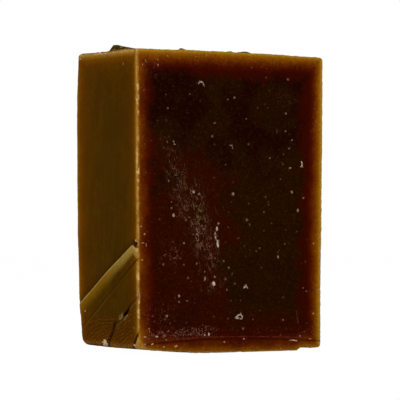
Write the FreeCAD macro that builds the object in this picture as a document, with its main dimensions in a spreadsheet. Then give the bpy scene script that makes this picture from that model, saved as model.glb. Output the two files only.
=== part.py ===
import FreeCAD
import Part
import Sketcher
import os

# A hand-made bar of soap, cast in a lined tray and cut out of its corner with a knife.
# It stands on its short end: +Z up, the broad cut face towards -Y, and the moulded side with
# the marks of the folded liner towards -X. The origin is under the middle, on the foot.
# Lengths are in millimetres.

BLOCK_SIZES = {
    # overall size, with the torn slivers on top left out
    "width": 58.7,
    "thickness": 35.9,
    "height": 81.6,
    # the top was cut by hand: its ends lie below its crown
    "crown_from_left": 20.0,
    "crown_drop_left": 0.05,
    "crown_drop_right": 0.85,
    # the sides lean in a little towards the foot
    "lean_left": 0.5,
    "lean_right": 0.9,
    # the foot is flat in its middle, and rises to both lower corners
    "foot_from_left": 29.0,
    "foot_from_right": 8.5,
    "foot_rise_left": 1.7,
    "foot_rise_right": 0.3,
    # the back took the sag of the tray: widest at the bulge, drawn in above and below it
    "bulge_height": 46.0,
    "back_draw_top": 0.8,
    "back_draw_foot": 1.9,
}

ROUND_SIZES = {
    # the tray rounded its corners most, the cut edges are only worn
    "tray_corner_round": 1.8,
    "foot_edge_round": 1.5,
    "top_edge_round": 1.0,
    "cut_edge_round": 0.5,
}

# The liner's main fold left a lip that stands proud of the moulded side. Each station lies at a
# depth behind the cut face and a height, and its lip has a crest that slopes away downwards.
LIP_STATIONS = {
    "back": {"depth": 31.5, "height": 14.0, "proud": 0.12, "drop": 4.4},
    "middle": {"depth": 17.8, "height": 21.4, "proud": 0.45, "drop": 4.6},
    "shoulder": {"depth": 2.2, "height": 29.4, "proud": 0.65, "drop": 4.4},
    "end": {"depth": 0.5, "height": 28.3, "proud": 0.4, "drop": 3.4},
}

# The smaller creases and slits of the liner are V grooves, given by stations along each one:
# how far behind the cut face, how high, half the mouth's width and how deep.
GROOVES = {
    "long_crease": {
        "front": {"depth": -0.6, "height": 26.1, "half": 0.22, "cut": 0.22},
        "back": {"depth": 31.0, "height": 6.9, "half": 0.18, "cut": 0.12},
    },
    "upper_slit": {
        "edge": {"depth": -0.6, "height": 16.2, "half": 0.3, "cut": 0.4},
        "neck": {"depth": 4.7, "height": 13.0, "half": 0.2, "cut": 0.25},
        "mouth": {"depth": 5.9, "height": 11.7, "half": 0.75, "cut": 1.4},
        "waist": {"depth": 8.7, "height": 9.9, "half": 0.5, "cut": 1.0},
        "tail": {"depth": 11.8, "height": 8.3, "half": 0.14, "cut": 0.16},
    },
    "lower_slit": {
        "head": {"depth": 12.7, "height": 7.9, "half": 0.3, "cut": 0.2},
        "throat": {"depth": 13.8, "height": 6.4, "half": 1.1, "cut": 1.0},
        "outlet": {"depth": 18.2, "height": 0.6, "half": 0.9, "cut": 0.7},
    },
    "corner_slit": {
        "head": {"depth": -0.6, "height": 6.6, "half": 0.3, "cut": 0.4},
        "waist": {"depth": 1.4, "height": 4.3, "half": 0.8, "cut": 1.0},
        "outlet": {"depth": 4.4, "height": 0.6, "half": 0.9, "cut": 0.9},
    },
    "edge_nick": {
        "inner": {"depth": 3.4, "height": 30.3, "half": 0.25, "cut": 0.2},
        "outer": {"depth": -0.6, "height": 29.5, "half": 0.8, "cut": 0.9},
    },
}

# Slivers that the knife tore up on the top. Each is a ragged profile across one direction, with
# its points given along it and above the top, made as thick as stated and drawn in to its crest.
SLIVERS = {
    "tall_sliver": {
        "along": "depth",
        "from_left": 1.9,
        "from_front": 2.0,
        "thick": 1.6,
        "outline": {
            "start": (0.0, 0.0),
            "rise": (3.4, 0.32),
            "brow": (10.2, 1.25),
            "peak": (13.5, 1.9),
            "end": (16.4, 0.0),
        },
    },
    "low_sliver": {
        "along": "width",
        "from_left": 34.8,
        "from_front": 9.0,
        "thick": 3.4,
        "outline": {
            "start": (0.0, 0.0),
            "rise": (1.6, 0.75),
            "peak": (3.6, 1.15),
            "brow": (4.9, 1.1),
            "end": (6.6, 0.0),
        },
    },
    "small_sliver": {
        "along": "width",
        "from_left": 31.6,
        "from_front": 8.0,
        "thick": 2.0,
        "outline": {
            "start": (0.0, 0.0),
            "rise": (0.9, 0.8),
            "peak": (2.3, 1.05),
            "end": (3.4, 0.0),
        },
    },
    "rim_crumb": {
        "along": "width",
        "from_left": 13.2,
        "from_front": 1.1,
        "thick": 1.2,
        "outline": {
            "start": (0.0, 0.0),
            "peak": (0.8, 0.62),
            "brow": (1.9, 0.4),
            "end": (2.7, 0.0),
        },
    },
}

DETAIL_SIZES = {
    # how far a lip, a groove's mouth or a sliver reaches past the surface that it starts from
    "overlap": 0.6,
    "sliver_taper": 20.0,
    # a flake broke off the foot under the right-hand end of the cut face
    "chip_from_right": 8.75,
    "chip_slope": 1.6,
    "chip_height": 0.75,
    "chip_reach": 11.0,
}


def flat_sizes():
    """Every driving size, by its name in the sheet."""
    sizes = dict(BLOCK_SIZES)
    sizes.update(ROUND_SIZES)
    sizes.update(DETAIL_SIZES)
    for station, values in LIP_STATIONS.items():
        for quantity, value in values.items():
            sizes[f"lip_{station}_{quantity}"] = value
    for groove, stations in GROOVES.items():
        for station, values in stations.items():
            for quantity, value in values.items():
                sizes[f"{groove}_{station}_{quantity}"] = value
    for sliver, values in SLIVERS.items():
        for quantity in ("from_left", "from_front", "thick"):
            sizes[f"{sliver}_{quantity}"] = values[quantity]
        for corner, (along, above) in values["outline"].items():
            sizes[f"{sliver}_{corner}_along"] = along
            sizes[f"{sliver}_{corner}_above"] = above
    return sizes


def make_sheet(doc):
    sheet = doc.addObject("Spreadsheet::Sheet", "Sizes")
    for row, (name, value) in enumerate(flat_sizes().items(), start=1):
        sheet.set(f"A{row}", name)
        sheet.set(f"B{row}", str(value))
        sheet.setAlias(f"B{row}", name)
    doc.recompute()
    return sheet


def size(name):
    """A cell of the sheet, as an expression names it."""
    return f"Sizes.{name}"


LEFT_TOP = f"-{size('width')} / 2"
LEFT_SLOPE = f"{size('lean_left')} / {size('height')}"


def side_face(height):
    """The X of the moulded side at a height, as an expression."""
    return f"({LEFT_TOP} + {LEFT_SLOPE} * ({size('height')} - ({height})))"


def new_sketch(body, name, plane, offset=None):
    """A sketch on one of the body's origin planes, moved along the plane's normal by offset."""
    sketch = body.newObject("Sketcher::SketchObject", name)
    support = next(f for f in body.Origin.OriginFeatures if f.Role == plane)
    sketch.AttachmentSupport = (support, [""])
    sketch.MapMode = "FlatFace"
    if offset is not None:
        sketch.setExpression("AttachmentOffset.Base.z", offset)
    return sketch


def place_point(sketch, geometry, end, x, y):
    """Holds one end of a line, arc or point at x and y, both given as expressions."""
    for kind, axis, value in (("DistanceX", "x", x), ("DistanceY", "y", y)):
        start = float(sketch.evalExpression(value))
        index = sketch.addConstraint(Sketcher.Constraint(kind, -1, 1, geometry, end, start))
        name = f"{axis}_{geometry}_{end}"
        sketch.renameConstraint(index, name)
        sketch.setExpression(f"Constraints.{name}", value)


def draw_outline(sketch, corners, bows=None):
    """A closed outline through corners. A side named in bows is an arc through that point."""
    bows = bows or {}

    def at(point):
        x, y = (float(sketch.evalExpression(value)) for value in point)
        return FreeCAD.Vector(x, y, 0)

    for side, corner in enumerate(corners):
        start, end = at(corner), at(corners[(side + 1) % len(corners)])
        if side in bows:
            sketch.addGeometry(Part.Arc(start, at(bows[side]), end), False)
        else:
            sketch.addGeometry(Part.LineSegment(start, end), False)
    ends = []
    for side, corner in enumerate(corners):
        # a sketch counts an arc anticlockwise, so its first end can be the later corner
        first, second = 1, 2
        if side in bows and not sketch.getPoint(side, 1).isEqual(at(corner), 1e-6):
            first, second = 2, 1
        ends.append((first, second))
    for side, corner in enumerate(corners):
        following = (side + 1) % len(corners)
        place_point(sketch, side, ends[side][0], *corner)
        joint = (side, ends[side][1], following, ends[following][0])
        sketch.addConstraint(Sketcher.Constraint("Coincident", *joint))
    for side, point in bows.items():
        mark = sketch.addGeometry(Part.Point(at(point)), True)
        place_point(sketch, mark, 1, *point)
        sketch.addConstraint(Sketcher.Constraint("PointOnObject", mark, 1, side))


def edges_where(shape, wanted):
    """The names of the edges that a test on an edge's two ends picks."""
    names = []
    for number, edge in enumerate(shape.Edges, start=1):
        if len(edge.Vertexes) == 2 and wanted(edge.Vertexes[0].Point, edge.Vertexes[1].Point):
            names.append(f"Edge{number}")
    return names


def round_edges(body, name, radius, wanted):
    """Rounds the edges that the test picks on the body as it stands."""
    base = body.Tip
    fillet = body.newObject("PartDesign::Fillet", name)
    fillet.Base = (base, edges_where(base.Shape, wanted))
    fillet.setExpression("Radius", size(radius))
    body.Document.recompute()


def cast_block(body, sheet):
    """The block as it left the tray and the knife, before its edges are rounded."""
    half_width = f"{size('width')} / 2"
    back = f"{size('thickness')} / 2"
    outline = new_sketch(body, "cut_face_outline", "XZ_Plane", back)
    height = size("height")
    corners = [
        (LEFT_TOP, f"{height} - {size('crown_drop_left')}"),
        (half_width, f"{height} - {size('crown_drop_right')}"),
        (f"{half_width} - {size('lean_right')}", size("foot_rise_right")),
        (f"{half_width} - {size('foot_from_right')}", "0"),
        (f"{LEFT_TOP} + {size('foot_from_left')}", "0"),
        (f"{LEFT_TOP} + {size('lean_left')}", size("foot_rise_left")),
    ]
    # both rises start level with the foot, so half way along they have a quarter of their height
    bows = {
        0: (f"{LEFT_TOP} + {size('crown_from_left')}", height),
        2: (f"{half_width} - ({size('foot_from_right')} + {size('lean_right')}) / 2",
            f"{size('foot_rise_right')} / 4"),
        4: (f"{LEFT_TOP} + ({size('foot_from_left')} + {size('lean_left')}) / 2",
            f"{size('foot_rise_left')} / 4"),
    }
    draw_outline(outline, corners, bows)
    pad = body.newObject("PartDesign::Pad", "cast_block")
    pad.Profile = outline
    pad.Reversed = True
    # the back is left over-thick, and the bulge then gives it its shape
    pad.setExpression("Length", f"{size('thickness')} + {size('overlap')}")
    body.Document.recompute()

    trim = new_sketch(body, "back_bulge_outline", "YZ_Plane")
    over = size("overlap")
    outside = f"{back} + 2 * {over}"
    corners = [
        (f"{back} - {size('back_draw_foot')}", f"-{over}"),
        (outside, f"-{over}"),
        (outside, f"{height} + {over}"),
        (f"{back} - {size('back_draw_top')}", f"{height} + {over}"),
    ]
    draw_outline(trim, corners, {3: (back, size("bulge_height"))})
    pocket = body.newObject("PartDesign::Pocket", "back_bulge")
    pocket.Profile = trim
    pocket.SideType = "Symmetric"
    pocket.Type = "ThroughAll"
    body.Document.recompute()


def round_block(body, sheet):
    """Moulded edges get the tray's rounding, cut edges a worn arris."""
    thickness, height = sheet.get("thickness"), sheet.get("height")
    front, middle = -thickness / 2, height / 2

    def on_front(a, b):
        return abs(a.y - front) < 1e-4 and abs(b.y - front) < 1e-4

    def upright(a, b):
        return abs(a.z - b.z) > abs(a.x - b.x) + abs(a.y - b.y)

    def is_seam(a, b):
        # the seams where the foot starts to rise run across it, inside its outline
        low = max(a.z, b.z) < 1e-3
        return low and abs(a.x - b.x) < 1e-3

    def round_the(a, b, high):
        same_end = (a.z > middle) == high and (b.z > middle) == high
        return same_end and not on_front(a, b) and not is_seam(a, b)

    round_edges(body, "tray_corners", "tray_corner_round",
                lambda a, b: upright(a, b) and a.y > 0 and b.y > 0)
    round_edges(body, "foot_edges", "foot_edge_round", lambda a, b: round_the(a, b, False))
    round_edges(body, "top_edges", "top_edge_round", lambda a, b: round_the(a, b, True))
    round_edges(body, "cut_edges", "cut_edge_round", on_front)


def section(body, name, station, corners):
    """A triangular section in an upright plane, at the station's depth behind the cut face."""
    offset = f"{size('thickness')} / 2 - {size(station + '_depth')}"
    sketch = new_sketch(body, name, "XZ_Plane", offset)
    draw_outline(sketch, corners)
    return sketch


def loft(body, kind, name, sections):
    feature = body.newObject(kind, name)
    feature.Profile = sections[0]
    feature.Sections = sections[1:]
    feature.Ruled = True
    body.Document.recompute()


def liner_lip(body):
    """The proud lip along the liner's main fold, highest near the cut face."""
    sections = []
    for station in LIP_STATIONS:
        key = f"lip_{station}"
        crest, foot = size(f"{key}_height"), f"{size(key + '_height')} - {size(key + '_drop')}"
        inside = f"{side_face(crest)} + {size('overlap')}"
        corners = [
            (f"{side_face(crest)} - {size(key + '_proud')}", crest),
            (inside, crest),
            (inside, foot),
            (side_face(foot), foot),
        ]
        sections.append(section(body, f"{key}_section", key, corners))
    loft(body, "PartDesign::AdditiveLoft", "liner_lip", sections)


def liner_grooves(body):
    """V grooves where the liner's smaller folds and slits pressed into the side."""
    for groove, stations in GROOVES.items():
        sections = []
        for station in stations:
            key = f"{groove}_{station}"
            height, half, cut = (size(f"{key}_{q}") for q in ("height", "half", "cut"))
            mouth_x = f"{side_face(height)} - {size('overlap')}"
            mouth_half = f"{half} * (1 + {size('overlap')} / {cut})"
            corners = [
                (f"{side_face(height)} + {cut}", height),
                (mouth_x, f"{height} + {mouth_half}"),
                (mouth_x, f"{height} - {mouth_half}"),
            ]
            sections.append(section(body, f"{key}_section", key, corners))
        loft(body, "PartDesign::SubtractiveLoft", groove, sections)


def top_slivers(body):
    """Slivers torn up by the knife, each sunk a little way into the top."""
    top = f"{size('height')} - {size('crown_drop_left')}"
    for sliver, values in SLIVERS.items():
        from_left, from_front, thick = (size(f"{sliver}_{q}") for q in ("from_left", "from_front", "thick"))
        left = f"{LEFT_TOP} + {from_left}"
        front = f"-{size('thickness')} / 2 + {from_front}"
        if values["along"] == "depth":
            plane, offset, start = "YZ_Plane", left, front
        else:
            plane, offset, start = "XZ_Plane", f"-({front})", left
        sketch = new_sketch(body, f"{sliver}_outline", plane, offset)
        # the root is sunk below the lowest part of the cut top
        root = f"{top} - {size('crown_drop_right')} - {size('overlap')}"
        names = list(values["outline"])
        corners = [(f"{start} + {size(f'{sliver}_{names[-1]}_along')}", root),
                   (f"{start} + {size(f'{sliver}_{names[0]}_along')}", root)]
        for corner in names:
            along, above = (size(f"{sliver}_{corner}_{q}") for q in ("along", "above"))
            corners.append((f"{start} + {along}", f"{top} + {above}"))
        draw_outline(sketch, corners)
        pad = body.newObject("PartDesign::Pad", sliver)
        pad.Profile = sketch
        pad.SideType = "Symmetric"
        pad.setExpression("Length", thick)
        pad.setExpression("TaperAngle", f"-{size('sliver_taper')}")
        body.Document.recompute()


def broken_chip(body):
    """The flake that is missing from the foot, at the right-hand end of the cut face."""
    front = f"{size('thickness')} / 2 + {size('overlap')}"
    sketch = new_sketch(body, "chip_outline", "XZ_Plane", front)
    right = f"{size('width')} / 2"
    start = f"{right} - {size('chip_from_right')}"
    over = size("overlap")
    corners = [
        (start, f"-{over}"),
        (start, "0"),
        (f"{start} + {size('chip_slope')}", size("chip_height")),
        (f"{right} + {over}", size("chip_height")),
        (f"{right} + {over}", f"-{over}"),
    ]
    draw_outline(sketch, corners)
    pocket = body.newObject("PartDesign::Pocket", "broken_chip")
    pocket.Profile = sketch
    pocket.setExpression("Length", size("chip_reach"))
    body.Document.recompute()


def make_soap_bar(doc, sheet):
    body = doc.addObject("PartDesign::Body", "soap_bar")
    body.Label = "soap_bar"
    cast_block(body, sheet)
    round_block(body, sheet)
    liner_lip(body)
    liner_grooves(body)
    top_slivers(body)
    broken_chip(body)
    return body


def check_document(doc, parts):
    """Stops if any object failed to build, or a piece is not one sound solid."""
    failed = [o.Name for o in doc.Objects if {"Invalid", "Error"} & set(o.State)]
    if failed:
        raise RuntimeError(f"these objects failed: {failed}")
    for part in parts:
        shape = part.Shape
        if shape.isNull() or not shape.isValid() or len(shape.Solids) != 1:
            raise RuntimeError(f"{part.Label} is not one valid solid")


def main():
    doc = FreeCAD.newDocument("bar_of_soap")
    sheet = make_sheet(doc)
    parts = [make_soap_bar(doc, sheet)]
    doc.recompute()
    check_document(doc, parts)
    os.makedirs("parts", exist_ok=True)
    for part in parts:
        part.Shape.exportStep(f"parts/{part.Label}.step")
        print(part.Label, "volume", round(part.Shape.Volume / 1000, 2), "cubic centimetres")


main()
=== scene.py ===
import math

import bpy
import numpy as np
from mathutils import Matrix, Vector


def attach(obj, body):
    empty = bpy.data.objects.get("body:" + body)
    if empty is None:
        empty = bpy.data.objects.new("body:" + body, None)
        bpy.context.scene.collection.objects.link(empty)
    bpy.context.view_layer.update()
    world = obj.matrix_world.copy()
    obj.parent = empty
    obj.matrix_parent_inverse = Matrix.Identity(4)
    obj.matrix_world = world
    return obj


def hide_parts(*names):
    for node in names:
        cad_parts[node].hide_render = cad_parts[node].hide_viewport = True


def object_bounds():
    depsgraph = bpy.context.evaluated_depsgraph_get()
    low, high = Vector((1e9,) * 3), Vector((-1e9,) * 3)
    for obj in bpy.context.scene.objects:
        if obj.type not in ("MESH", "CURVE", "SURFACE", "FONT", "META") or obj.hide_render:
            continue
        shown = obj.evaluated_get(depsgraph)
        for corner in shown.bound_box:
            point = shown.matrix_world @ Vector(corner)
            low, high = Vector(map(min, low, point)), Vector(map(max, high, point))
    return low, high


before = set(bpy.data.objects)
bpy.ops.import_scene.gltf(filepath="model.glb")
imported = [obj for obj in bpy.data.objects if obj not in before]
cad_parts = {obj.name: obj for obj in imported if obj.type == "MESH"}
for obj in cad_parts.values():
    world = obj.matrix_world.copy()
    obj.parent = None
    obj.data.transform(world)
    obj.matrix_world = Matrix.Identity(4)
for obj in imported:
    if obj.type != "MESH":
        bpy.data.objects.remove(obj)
cad_low, cad_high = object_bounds()

# The cast bar: one block of hand-made soap, poured into a tray lined with folded paper.
# Its left side, back and foot took the tray's shape. Its front, top and right side were cut
# by knife, so they are flatter, sharper at the edge and marked by the blade.

MM = 0.001
WIDTH, THICKNESS, HEIGHT = 58.7, 35.9, 81.6
LEAN_LEFT, LEAN_RIGHT = 0.5, 0.9
SKIN_GRAIN = 0.29
MOST_TRIANGLES = 185000

bpy.ops.object.select_all(action="DESELECT")
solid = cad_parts["soap_bar"]
solid.select_set(True)
bpy.context.view_layer.objects.active = solid
bpy.ops.object.duplicate()
bar = bpy.context.view_layer.objects.active
bar.name = "cast_bar"
bar.parent = None
bpy.ops.object.mode_set(mode="EDIT")
bpy.ops.mesh.select_all(action="SELECT")
bpy.ops.mesh.remove_doubles(threshold=0.002 * MM)
bpy.ops.object.mode_set(mode="OBJECT")


def finish_modifier(piece, kind, **settings):
    """Adds a modifier with its settings and applies it at once."""
    bpy.ops.object.select_all(action="DESELECT")
    piece.select_set(True)
    bpy.context.view_layer.objects.active = piece
    modifier = piece.modifiers.new(kind.title(), kind)
    for name, value in settings.items():
        setattr(modifier, name, value)
    bpy.ops.object.modifier_apply(modifier=modifier.name)


finish_modifier(bar, "REMESH", mode="VOXEL", voxel_size=SKIN_GRAIN * MM, adaptivity=0.0)


def vertex_places(piece):
    """Every vertex's place, in millimetres."""
    places = np.empty(len(piece.data.vertices) * 3)
    piece.data.vertices.foreach_get("co", places)
    return places.reshape(-1, 3) / MM


def move_vertices(piece, places):
    piece.data.vertices.foreach_set("co", (places * MM).ravel())
    piece.data.update()


def through(a, b, c):
    """The quadratic through three points, as a function."""
    line = np.polyfit([a[0], b[0], c[0]], [a[1], b[1], c[1]], 2)
    return lambda x: np.polyval(line, x)


# how the solid's own outline runs: the crown of the top, the bulge of the back, the foot's rise
crown = through((-29.35, 81.55), (-9.35, 81.6), (29.35, 80.75))
bulge = through((0.0, 16.05), (46.0, 17.95), (HEIGHT, 17.15))


def foot_level(x):
    left = np.clip((-0.35 - x) / 29.0, 0, 1) ** 2 * 1.7
    right = np.clip((x - 20.85) / 8.0, 0, 1) ** 2 * 0.3
    return left + right


def left_side(z):
    """Where the moulded side lies at a height."""
    return -WIDTH / 2 + LEAN_LEFT * (1 - z / HEIGHT)


def depths(places):
    """How deep each place lies under the left, front, foot, right, back and top."""
    x, y, z = places.T
    right = WIDTH / 2 - LEAN_RIGHT * (1 - z / HEIGHT) - x
    return x - left_side(z), y + THICKNESS / 2, z - foot_level(x), right, bulge(z) - y, crown(x) - z


def edge_depth(places):
    """The way to the nearest edge of the bar, along its skin."""
    left, front, foot, right, back, top = depths(places)
    nearest = np.sort([np.minimum(left, right), np.minimum(front, back), np.minimum(foot, top)], axis=0)
    return np.maximum(nearest[1], 0)


def weigh(piece, name, weights):
    """A vertex group from an array of weights, in sixteen steps."""
    group = piece.vertex_groups.new(name=name)
    steps = np.round(np.clip(weights, 0, 1) * 16).astype(int)
    for step in range(1, 17):
        group.add(np.nonzero(steps == step)[0].tolist(), step / 16, "REPLACE")
    return name


def relief(piece, name, grain, height, level=0.5, group="", fine=0):
    """Raises and lowers a skin by a cloudy pattern of the given grain and height, in millimetres."""
    pattern = bpy.data.textures.new(name, "CLOUDS")
    pattern.noise_scale = grain * MM
    pattern.noise_depth = fine
    finish_modifier(piece, "DISPLACE", texture=pattern, texture_coords="LOCAL", direction="NORMAL",
                    mid_level=level, strength=height * MM, vertex_group=group)


EDGE_WEAR_REACH, RAGGED_FOOT_REACH = 1.1, 1.6
TRAY_SMOOTHED = 0.75
places = vertex_places(bar)
worn = np.exp(-(edge_depth(places) / EDGE_WEAR_REACH) ** 2)
left, front, foot, right, back, top = depths(places)
foot_edge = np.hypot(np.maximum(front, 0), np.maximum(foot, 0))
ragged = np.exp(-(foot_edge / RAGGED_FOOT_REACH) ** 2)
# the tray kept the edge between the moulded side and the back smooth
worn *= 1 - TRAY_SMOOTHED * np.clip(1.2 - np.hypot(left, back) / 2.5, 0, 1)
weigh(bar, "worn_edges", worn)
weigh(bar, "ragged_foot", ragged)
relief(bar, "slow_waviness", grain=15.0, height=0.3, level=0.15)
relief(bar, "waxy_dimples", grain=3.2, height=0.08, fine=1)
relief(bar, "edge_wear", grain=1.1, height=0.34, level=0.42, group="worn_edges", fine=2)
relief(bar, "foot_crumbling", grain=1.9, height=0.7, level=0.5, group="ragged_foot", fine=2)


def way_to_line(x, z, points):
    """The distance from each place to a run of straight lines."""
    nearest = np.full(len(x), 1e9)
    for (ax, az), (bx, bz) in zip(points, points[1:]):
        length = (bx - ax) ** 2 + (bz - az) ** 2
        share = np.clip(((x - ax) * (bx - ax) + (z - az) * (bz - az)) / length, 0, 1)
        nearest = np.minimum(nearest, np.hypot(x - ax - share * (bx - ax), z - az - share * (bz - az)))
    return nearest


def above_line(along, up, points):
    """How far each place lies above a run of lines."""
    return up - np.interp(along, [p[0] for p in points], [p[1] for p in points])


# a line pressed into the front just above its foot, and a short upright one at its right
PRESSED_LINE = [(2.6, 2.6), (6.7, 2.95), (20.7, 3.6), (36.0, 3.5), (46.0, 3.1), (56.0, 2.6)]
UPRIGHT_LINE = [(50.2, 10.4), (51.4, 3.5)]
PRESSED_DEPTH, PRESSED_HALF_WIDTH = 0.26, 0.3
UPRIGHT_DEPTH, UPRIGHT_HALF_WIDTH = 0.1, 0.25
FRONT_SET_BACK = 0.24
places = vertex_places(bar)
across, up = places[:, 0] + WIDTH / 2, places[:, 2]
left, front, foot, right, back, top = depths(places)
on_front = np.clip(1.3 - front / 0.8, 0, 1)
pressed_way = way_to_line(across, up, PRESSED_LINE) / PRESSED_HALF_WIDTH
upright_way = way_to_line(across, up, UPRIGHT_LINE) / UPRIGHT_HALF_WIDTH
press = PRESSED_DEPTH * np.exp(-pressed_way ** 2) + UPRIGHT_DEPTH * np.exp(-upright_way ** 2)
places[:, 1] += (press + FRONT_SET_BACK) * on_front

# the folds of the liner, as heights on the moulded side by the way behind the cut front
FOLD_TOP = [(-1.0, 27.3), (0.5, 28.3), (2.2, 29.4), (17.8, 21.4), (31.5, 14.0), (36.0, 11.6)]
CREASE = [(-1.0, 26.4), (31.0, 6.9), (36.0, 3.9)]
SLIT = [
    (-1.0, 16.4), (4.7, 13.0), (5.9, 11.7), (8.7, 9.9),
    (11.8, 8.3), (12.7, 7.9), (13.8, 6.4), (18.2, 0.6),
]
CORNER_SLIT = [(-1.0, 7.0), (1.4, 4.3), (4.4, 0.6), (5.0, 0.0)]
behind = places[:, 1] + THICKNESS / 2

# the tray's corner drew the back in at its left end, most of all down at the foot
DRAWN_IN_LOW, DRAWN_IN_AT_FOOT, DRAWN_IN_HIGH = 1.1, 0.9, 0.5
drawn_in = DRAWN_IN_LOW * np.clip((12.5 - up) / 8.7, 0, 1) ** 1.2
drawn_in += DRAWN_IN_AT_FOOT * np.clip((3.6 - up) / 1.6, 0, 1) ** 1.5
drawn_in += DRAWN_IN_HIGH * np.clip((up - 69.5) / 8.0, 0, 1)
places[:, 1] -= drawn_in * np.clip((behind - 22) / 12, 0, 1) * np.clip((24 - across) / 18, 0, 1)

# small bites along the foot's front edge: where they lie across, half their width, and their height
BITES = [
    (14.1, 2.6, 0.24), (19.7, 0.6, 0.18), (32.3, 1.7, 0.25), (47.3, 0.9, 0.16), (53.1, 1.4, 0.24),
]
at_foot = np.clip(1.6 - foot / 1.2, 0, 1) * np.clip(1.5 - front / 3, 0, 1)
for middle, half, tall in BITES:
    places[:, 2] += tall * np.exp(-((across - middle) / half) ** 4) * at_foot

# the cut top stands a hair higher at its left, and the slivers at its right are low
LEFT_LIFT, MOULDED_EDGE_LIFT, SLIVERS_LOWERED = 0.12, 0.1, 0.35
near_top = np.clip(1.5 - top / 2, 0, 1)
places[:, 2] += LEFT_LIFT * np.clip((34 - across) / 6, 0, 1) * near_top
moulded_edge = np.clip(behind / 8, 0, 1) * np.clip(1 - left / 3, 0, 1)
places[:, 2] += MOULDED_EDGE_LIFT * moulded_edge * near_top
places[:, 2] -= SLIVERS_LOWERED * np.clip(-top - 0.1, 0, None) * (across > 24)

on_left = np.clip(1 - np.abs(left) / 1.4, 0, 1)
above_fold = above_line(behind, up, FOLD_TOP)
above_crease = above_line(behind, up, CREASE)
above_slit = above_line(behind, up, SLIT)

# the lap of paper pressed a hollow just above the fold, and the crease is a low step
HOLLOW_DEPTH, STEP_DEPTH, STRIP_FOOT_DEPTH = 0.16, 0.12, 0.1
hollow = HOLLOW_DEPTH * np.exp(-((above_fold - 0.6) / 0.5) ** 2)
step = STEP_DEPTH * np.clip(-above_crease / 0.4, 0, 1) * np.clip(1 + above_crease / 6.0, 0, 1)
strip_foot = STRIP_FOOT_DEPTH * np.clip((-2.4 - above_fold) / 0.7, 0, 1)
strip_foot *= np.clip((above_fold + 6.0) / 2.0, 0, 1)


def wrinkles(behind, up):
    """The small wrinkles below the crease: each place's turn round their wave, and their strength."""
    above_crease = above_line(behind, up, CREASE)
    above_slit = above_line(behind, up, SLIT)
    away = np.clip(behind - 14.0, -2, 18)
    fan = (up - 10.0) * (1 - 0.022 * away - 0.0014 * away ** 2) * 8.0 + 0.5 * np.sin(behind * 0.8)
    slant = (up + 0.34 * behind + 0.004 * behind ** 2) * 5.6 + 0.8 * np.sin(behind * 0.9)
    turn = np.where(above_slit > 0, fan, slant)
    fan_share = np.clip(-(above_crease + 0.8) / 2.0, 0, 1) * np.clip((behind - 12.6) / 2.0, 0, 1)
    fan_share *= np.clip(10.4 - up, 0, 1) * np.clip((32.0 - behind) / 4.0, 0, 1)
    slant_share = np.clip((behind - 2.5) / 2.0, 0, 1) * np.clip((-above_slit - 0.8) / 1.5, 0, 1)
    return turn, np.where(above_slit > 0, fan_share, slant_share)


turn, share = wrinkles(behind, up)
ripples = (0.05 * np.sin(turn) + 0.04) * share
places[:, 0] += (hollow - step + strip_foot + ripples) * on_left

# the knife left fine lines on the top and the right side, from the front to the back
KNIFE_LINE_HEIGHT, RIGHT_SIDE_RAISED = 0.015, 0.15
on_top = np.clip(1 - np.abs(top) / 0.5, 0, 1)
on_right = np.clip(1 - np.abs(right) / 0.5, 0, 1)
lines = np.sin(across * 2.9 + 0.8 * np.sin(across * 0.7) + 0.03 * behind)
places[:, 2] += KNIFE_LINE_HEIGHT * lines * on_top
lines = np.sin(up * 2.5 + 0.9 * np.sin(up * 0.6) + 0.05 * behind)
places[:, 0] += (KNIFE_LINE_HEIGHT * lines + RIGHT_SIDE_RAISED) * on_right
low, high = np.array(cad_low) / MM, np.array(cad_high) / MM
move_vertices(bar, np.clip(places, low, high))

bar.data.calc_loop_triangles()
share = min(1.0, MOST_TRIANGLES / len(bar.data.loop_triangles))
finish_modifier(bar, "DECIMATE", decimate_type="COLLAPSE", ratio=share)
bar.vertex_groups.clear()
bpy.ops.object.shade_smooth_by_angle(angle=math.radians(50))

# each vertex keeps how deep it lies under the six sides and how far from each fold, and the
# finish reads that
places = vertex_places(bar)
left, front, foot, right, back, top = depths(places)
across, behind, up = places[:, 0] + WIDTH / 2, places[:, 1] + THICKNESS / 2, places[:, 2]
skin_marks = {
    "under_low": (left, front, foot),
    "under_high": (right, back, top),
    "above_folds": [above_line(behind, up, line) for line in (FOLD_TOP, CREASE, SLIT)],
    "above_lines": (above_line(behind, up, CORNER_SLIT), above_line(across, up, PRESSED_LINE), behind),
    "wrinkles": (*wrinkles(behind, up), across),
}
for name, values in skin_marks.items():
    attribute = bar.data.attributes.new(name, "FLOAT_VECTOR", "POINT")
    attribute.data.foreach_set("vector", np.stack(values, 1).ravel())


def add(kind, inputs=(), **settings):
    """Adds a node to the tree in hand with its settings, and sets or links its inputs."""
    node = tree.nodes.new("ShaderNode" + kind)
    for name, value in settings.items():
        setattr(node, name, value)
    for socket, value in inputs.items() if isinstance(inputs, dict) else enumerate(inputs):
        if isinstance(value, bpy.types.Node):
            value = next(output for output in value.outputs if output.enabled)
        if isinstance(value, bpy.types.NodeSocket):
            tree.links.new(value, node.inputs[socket])
        else:
            node.inputs[socket].default_value = value
    return node


def linear(code):
    """A colour from its sRGB hex code."""
    parts = [int(code[i:i + 2], 16) / 255 for i in (1, 3, 5)]
    return [c / 12.92 if c <= 0.04045 else ((c + 0.055) / 1.055) ** 2.4 for c in parts] + [1.0]


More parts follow.
